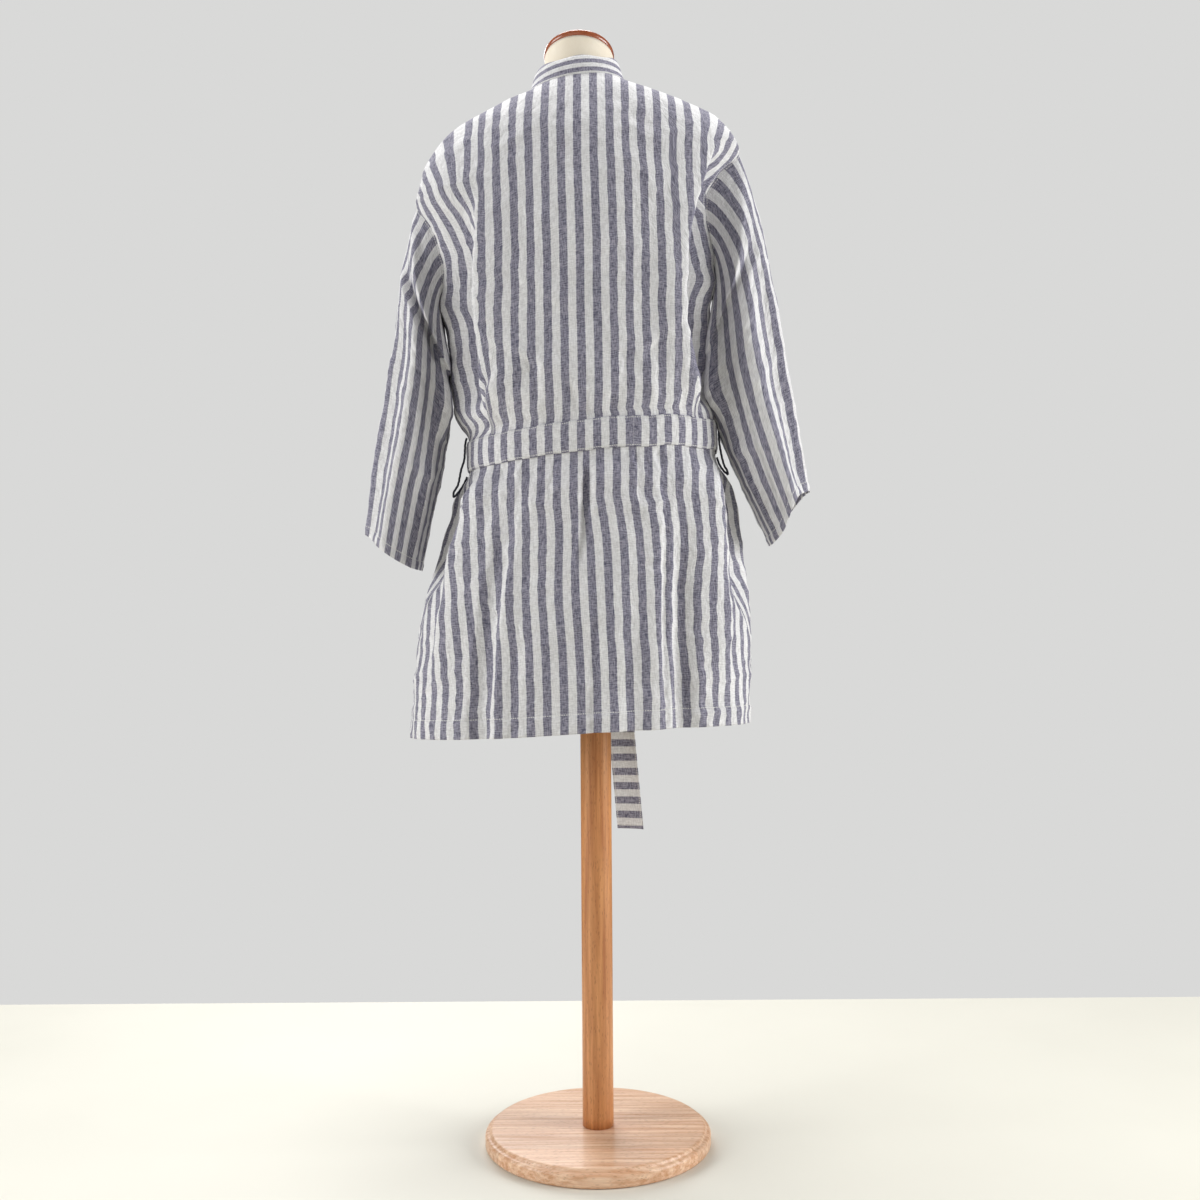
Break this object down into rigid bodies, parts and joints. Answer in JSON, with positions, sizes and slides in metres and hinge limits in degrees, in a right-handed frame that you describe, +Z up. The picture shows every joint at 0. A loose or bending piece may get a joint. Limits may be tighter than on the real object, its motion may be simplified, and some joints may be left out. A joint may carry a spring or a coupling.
{
  "type": "short kimono robe on a dress form stand",
  "caption": "Short striped wrap robe with a crossed front, tied sash and hanging sleeves, worn by a limbless dress form on a round wooden stand.",
  "frame": {"origin": "centre of the stand's underside, on the pole's axis", "axes": "+Z up along the pole; the robe's front faces -Y, its back +Y, and the wearer's left side is at +X"},
  "size_m": [0.633, 0.32, 1.5796],
  "materials": {
    "linen": "matte striped linen weave",
    "form_cloth": "matte cream jersey",
    "cap_wood": "glossy varnish",
    "beech": "satin oil"
  },
  "bodies": {
    "root": {"back": "linen", "front_left": "linen", "front_right": "linen", "neckband": "linen", "sleeve_left": "linen", "sleeve_right": "linen", "sash_wrap": "linen", "sash_knot": "linen", "sash_tail_long": "linen", "sash_tail_short": "linen", "belt_loop_left": "linen", "belt_loop_right": "linen", "form_body": "form_cloth", "form_cap": "cap_wood", "stand_pole": "beech", "stand_base": "beech"}
  },
  "joints": []
}
